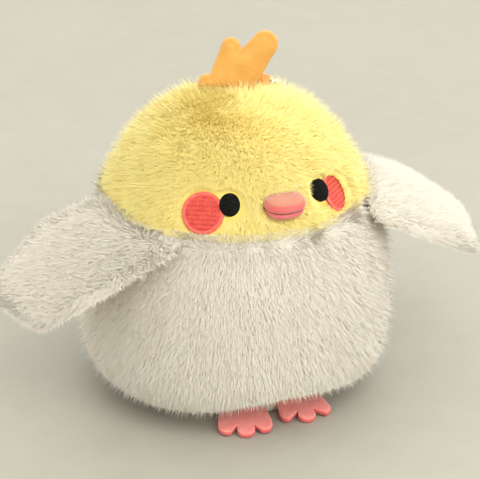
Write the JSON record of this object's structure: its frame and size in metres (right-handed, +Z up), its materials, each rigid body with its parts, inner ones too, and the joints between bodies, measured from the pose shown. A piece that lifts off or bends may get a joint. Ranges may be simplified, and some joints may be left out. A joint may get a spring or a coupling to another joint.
{
  "type": "plush keychain",
  "caption": "Round faux-fur cockatiel plush on a ball chain, with spread wings, an orange crest, felt feet and embroidered cheeks.",
  "frame": {"origin": "centre of the flat base panel, on the surface that the bird stands on", "axes": "+Z up; +X to the bird's left, across the wings; the bird faces -Y"},
  "size_m": [0.1638, 0.0976, 0.1151],
  "materials": {
    "fur_yellow": "long faux fur, pale yellow with deeper roots",
    "fur_white": "long faux fur, off-white",
    "short_pile_cream": "short-pile knitted plush, cream",
    "stuffing_fibre": "loose polyester fibre",
    "sewing_thread": "sewing thread, off-white",
    "embroidery_black": "satin stitch, glossy black thread",
    "embroidery_coral": "fill stitch, coral thread",
    "embroidery_coral_light": "satin stitch border, light coral thread",
    "beak_plush_peach": "short-pile plush, peach",
    "beak_plush_pink": "short-pile plush, salmon pink",
    "crest_plush_orange": "short-pile plush, apricot orange",
    "felt_pink": "pressed felt, salmon pink",
    "ribbon_orange": "grosgrain ribbon, orange",
    "steel_chain": "polished nickel plate"
  },
  "bodies": {
    "bird": {"head_right_panel": "fur_yellow", "head_left_panel": "fur_yellow", "belly_panel": "fur_white", "back_panel": "fur_white", "base_panel": "short_pile_cream", "stuffing": "stuffing_fibre", "neck_seam_thread": "sewing_thread", "base_seam_thread": "sewing_thread", "right_eye": "embroidery_black", "left_eye": "embroidery_black", "right_cheek": "embroidery_coral", "left_cheek": "embroidery_coral", "right_cheek_border": "embroidery_coral_light", "left_cheek_border": "embroidery_coral_light", "upper_beak": "beak_plush_peach", "lower_beak": "beak_plush_pink", "hanging_loop": "ribbon_orange"},
    "right_wing": {"right_wing_cover": "fur_white", "right_wing_batting": "stuffing_fibre", "right_wing_lining": "short_pile_cream"},
    "left_wing": {"left_wing_cover": "fur_white", "left_wing_batting": "stuffing_fibre", "left_wing_lining": "short_pile_cream"},
    "crest": {"crest_front_panel": "crest_plush_orange", "crest_filling": "stuffing_fibre", "crest_back_panel": "crest_plush_orange"},
    "right_foot": {"right_foot": "felt_pink"},
    "left_foot": {"left_foot": "felt_pink"},
    "chain_section_1": {"chain_beads_1": "steel_chain", "chain_links_1": "steel_chain"},
    "chain_section_2": {"chain_beads_2": "steel_chain", "chain_links_2": "steel_chain"},
    "chain_section_3": {"chain_beads_3": "steel_chain", "chain_links_3": "steel_chain"},
    "chain_section_4": {"chain_beads_4": "steel_chain", "chain_links_4": "steel_chain"},
    "chain_section_5": {"chain_beads_5": "steel_chain", "chain_links_5": "steel_chain", "chain_connector": "steel_chain"}
  },
  "joints": [
    {"name": "right_wing_flap", "type": "hinge", "parent": "bird", "child": "right_wing", "pos_m": [-0.038, -0.013, 0.068], "axis": [-0.307, 0.9449, 0.1132], "range_deg": [-15, 75], "stiffness_Nm_per_rad": 0.03},
    {"name": "left_wing_flap", "type": "hinge", "parent": "bird", "child": "left_wing", "pos_m": [0.038, -0.013, 0.068], "axis": [-0.307, -0.9449, -0.1132], "range_deg": [-15, 75], "stiffness_Nm_per_rad": 0.03},
    {"name": "crest_bend", "type": "hinge", "parent": "bird", "child": "crest", "pos_m": [0.001, 0.009, 0.0962], "axis": [0.8387, -0.5446, 0], "range_deg": [-25, 30], "stiffness_Nm_per_rad": 0.01},
    {"name": "right_foot_flex", "type": "hinge", "parent": "bird", "child": "right_foot", "pos_m": [-0.0093, -0.0296, 0.00348], "axis": [-0.9659, 0.2588, 0], "range_deg": [-28, 12], "stiffness_Nm_per_rad": 0.01},
    {"name": "left_foot_flex", "type": "hinge", "parent": "bird", "child": "left_foot", "pos_m": [0.0097, -0.0291, 0.00321], "axis": [-0.9986, 0.0523, 0], "range_deg": [-28, 12], "stiffness_Nm_per_rad": 0.01},
    {"name": "chain_swing", "type": "hinge", "parent": "bird", "child": "chain_section_1", "pos_m": [0.0135, 0.0085, 0.0968], "axis": [0.9069, -0.3664, -0.2079], "range_deg": [0, 110]},
    {"name": "chain_bend_1", "type": "hinge", "parent": "chain_section_1", "child": "chain_section_2", "pos_m": [0.01681, 0.0186, 0.09343], "axis": [0.9069, -0.3664, -0.2079], "range_deg": [0, 37]},
    {"name": "chain_bend_2", "type": "hinge", "parent": "chain_section_2", "child": "chain_section_3", "pos_m": [0.0184, 0.02679, 0.08596], "axis": [0.9069, -0.3664, -0.2079], "range_deg": [0, 25]},
    {"name": "chain_bend_3", "type": "hinge", "parent": "chain_section_3", "child": "chain_section_4", "pos_m": [0.01896, 0.03332, 0.07688], "axis": [0.9069, -0.3664, -0.2079], "range_deg": [0, 20]},
    {"name": "chain_bend_4", "type": "hinge", "parent": "chain_section_4", "child": "chain_section_5", "pos_m": [0.01886, 0.03865, 0.06703], "axis": [0.9069, -0.3664, -0.2079], "range_deg": [0, 15]}
  ]
}
